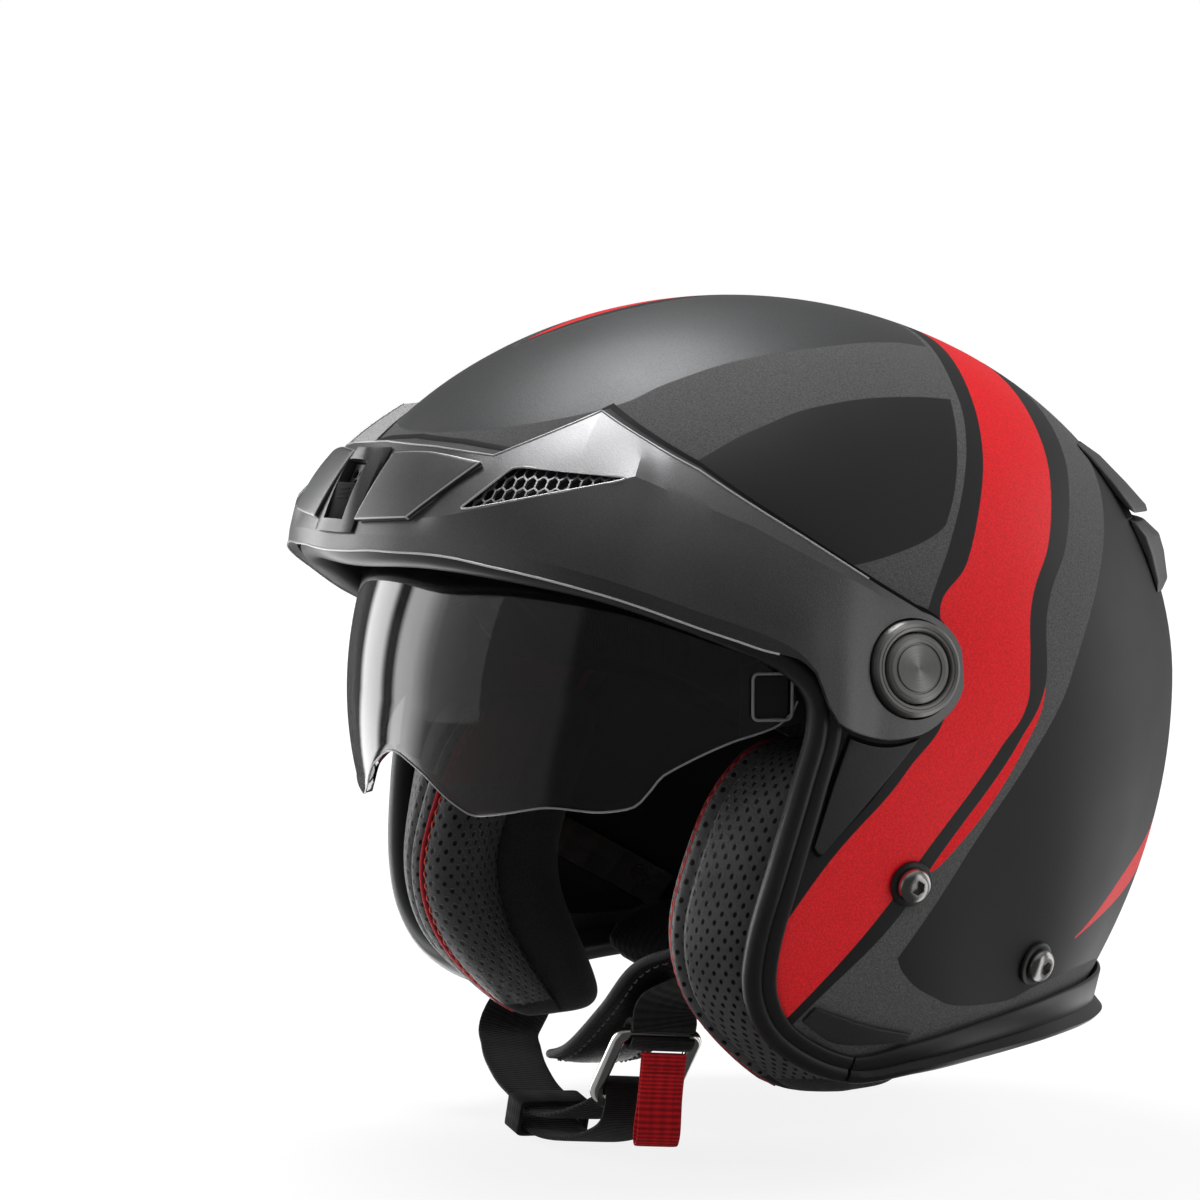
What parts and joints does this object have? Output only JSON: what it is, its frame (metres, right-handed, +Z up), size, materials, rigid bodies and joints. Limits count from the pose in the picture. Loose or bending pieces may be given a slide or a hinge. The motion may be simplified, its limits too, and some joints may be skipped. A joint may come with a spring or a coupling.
{
  "type": "open-face motorcycle helmet",
  "caption": "Open-face motorcycle helmet with a vented forehead brow, drop-down smoked sun visor, padded lining and a chin strap fastened round a D-ring.",
  "frame": {"origin": "the middle of the wearer's head, on the mirror plane, where the shell is widest", "axes": "+Z up, -Y out of the face opening, +X the wearer's left"},
  "size_m": [0.2518, 0.2677, 0.2494],
  "materials": {
    "shell": "matte painted composite with flat stripes",
    "brow": "satin gunmetal moulding",
    "rubber": "satin rubber",
    "mesh": "black honeycomb grille",
    "shutter": "satin black",
    "turned": "turned rings",
    "steel": "plain",
    "bush": "natural nylon",
    "lens": "smoked, polished",
    "arm": "satin black",
    "foam": "moulded black foam",
    "fabric": "brushed lining",
    "leather": "perforated with red stitching",
    "webbing": "ribbed webbing",
    "chrome": "polished",
    "red": "woven ribbon"
  },
  "bodies": {
    "helmet": {"outer_shell": "shell", "face_trim": "rubber", "base_trim": "rubber", "brow": "brow", "brow_vent_mesh_left": "mesh", "brow_vent_mesh_right": "mesh", "brow_panel_left": "brow", "brow_panel_right": "brow", "side_panel_left": "brow", "side_panel_right": "brow", "corner_panel_left": "brow", "corner_panel_right": "brow", "front_vent_housing": "brow", "front_vent_mesh": "mesh", "pivot_ring_left": "turned", "pivot_ring_right": "turned", "pivot_cap_left": "turned", "pivot_cap_right": "turned", "pivot_pin_left": "steel", "pivot_pin_right": "steel", "pivot_bush_left": "bush", "pivot_bush_right": "bush", "foam_liner": "foam", "crown_pad": "fabric", "neck_pad": "fabric", "cheek_pad_left": "leather", "cheek_pad_right": "leather", "strap_anchor_left": "steel", "strap_anchor_right": "steel", "d_ring": "chrome", "chin_strap_left": "webbing", "chin_strap_right": "webbing", "strap_cover": "leather", "strap_keeper": "webbing", "rear_outlet_upper": "brow", "rear_outlet_lower": "brow", "strap_screw_front_left": "steel", "strap_washer_front_left": "rubber", "strap_screw_front_right": "steel", "strap_washer_front_right": "rubber", "strap_screw_rear_left": "steel", "strap_washer_rear_left": "rubber", "strap_screw_rear_right": "steel", "strap_washer_rear_right": "rubber"},
    "visor": {"sun_visor": "lens", "visor_arm_left": "arm", "visor_arm_right": "arm"},
    "shutter": {"front_vent_shutter": "shutter"},
    "tab": {"pull_tab": "red"}
  },
  "joints": [
    {"name": "visor_swing", "type": "hinge", "parent": "helmet", "child": "visor", "pos_m": [0, -0.0194, 0.0123], "axis": [-1, 0, 0], "range_deg": [0, 45]},
    {"name": "front_vent_slide", "type": "slide", "parent": "helmet", "child": "shutter", "axis": [0, 0.4251, 0.9051], "range_m": [0, 0.0065]},
    {"name": "pull_tab_swing", "type": "hinge", "parent": "helmet", "child": "tab", "pos_m": [0.04071, -0.04841, -0.10025], "axis": [-0.2017, -0.9744, 0.0996], "range_deg": [-8, 45]}
  ]
}
